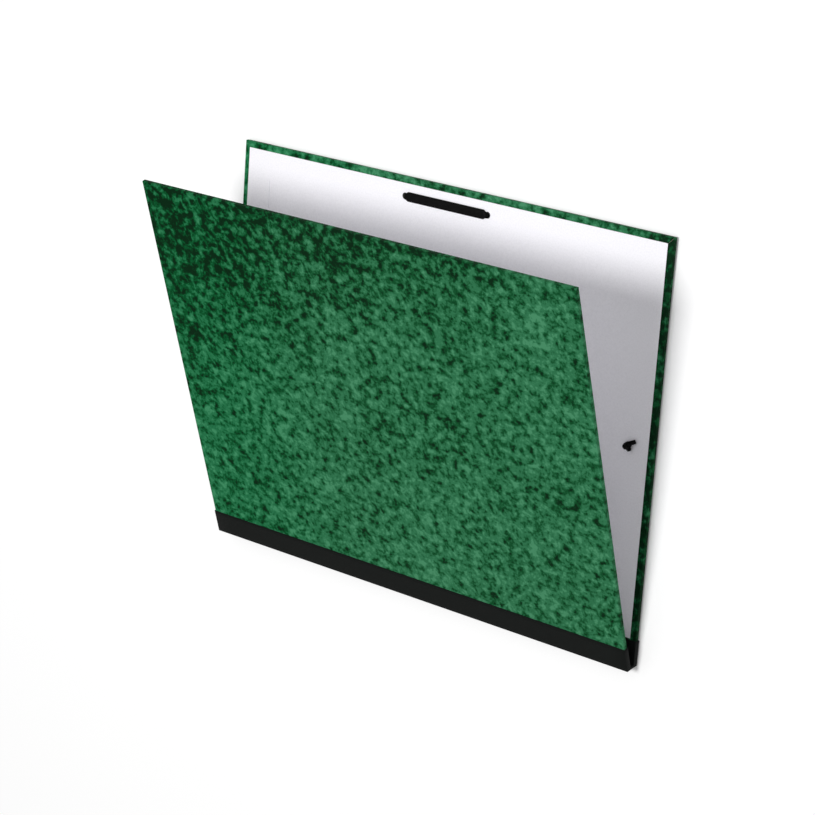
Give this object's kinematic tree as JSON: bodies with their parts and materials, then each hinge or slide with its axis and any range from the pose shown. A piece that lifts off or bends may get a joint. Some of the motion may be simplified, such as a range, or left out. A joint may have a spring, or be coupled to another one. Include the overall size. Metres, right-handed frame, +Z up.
{
  "type": "drawing portfolio",
  "caption": "Two stiff boards in green marbled paper, joined by a black cloth spine, with a white lining and a flat closing elastic; lies open like a book.",
  "frame": {"origin": "On the surface it lies on, under the middle of the whole part's box.", "axes": "+X along the spine, +Y from the spine to the free edge of the rear cover, +Z up out of the rear cover's inner face."},
  "size_m": [0.331, 0.262, 0.0967],
  "materials": {
    "greyboard": "matt grey board",
    "marbled_paper": "green printed marbled paper with a slight sheen",
    "lining_paper": "smooth white lining paper",
    "bookcloth": "black woven bookcloth",
    "elastic": "black flat woven elastic"
  },
  "bodies": {
    "rear": {"rear_board": "greyboard", "rear_cover_paper": "marbled_paper", "rear_lining": "lining_paper", "spine_cloth": "bookcloth", "hinge_strip": "bookcloth", "closing_elastic": "elastic"},
    "front": {"front_board": "greyboard", "front_cover_paper": "marbled_paper", "front_lining": "lining_paper"}
  },
  "joints": [
    {"name": "cover_hinge", "type": "hinge", "parent": "rear", "child": "front", "pos_m": [0, -0.13, 0.00555], "axis": [1, 0, 0], "range_deg": [-18.6, 160], "deforming": ["spine_cloth", "hinge_strip"]}
  ]
}
